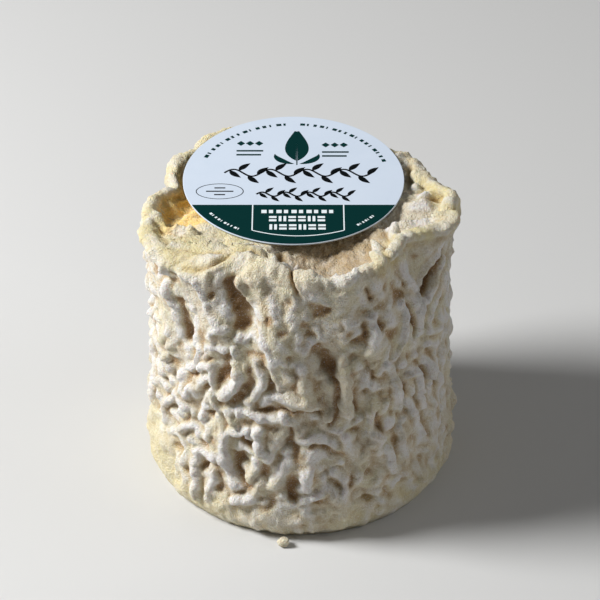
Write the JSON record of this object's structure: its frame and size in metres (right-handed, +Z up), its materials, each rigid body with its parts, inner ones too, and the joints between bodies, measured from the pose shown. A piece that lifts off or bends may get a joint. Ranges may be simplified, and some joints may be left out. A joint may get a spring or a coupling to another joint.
{
  "type": "chabichou cheese",
  "caption": "Small drum-shaped goat's cheese with a wrinkled, mould-ripened rind, a ruffled rim and a round paper label lying on top.",
  "frame": {"origin": "on the surface the cheese stands on, at the middle of its plan", "axes": "+Z up through the cheese; -Y is the front, from which the label is read; +X to the right"},
  "size_m": [0.0597, 0.0596, 0.0579],
  "materials": {
    "rind": null,
    "label_paper": "smooth coated paper, cool white with a dark green field"
  },
  "bodies": {
    "root": {"cheese": "rind", "label": "label_paper"}
  },
  "joints": []
}
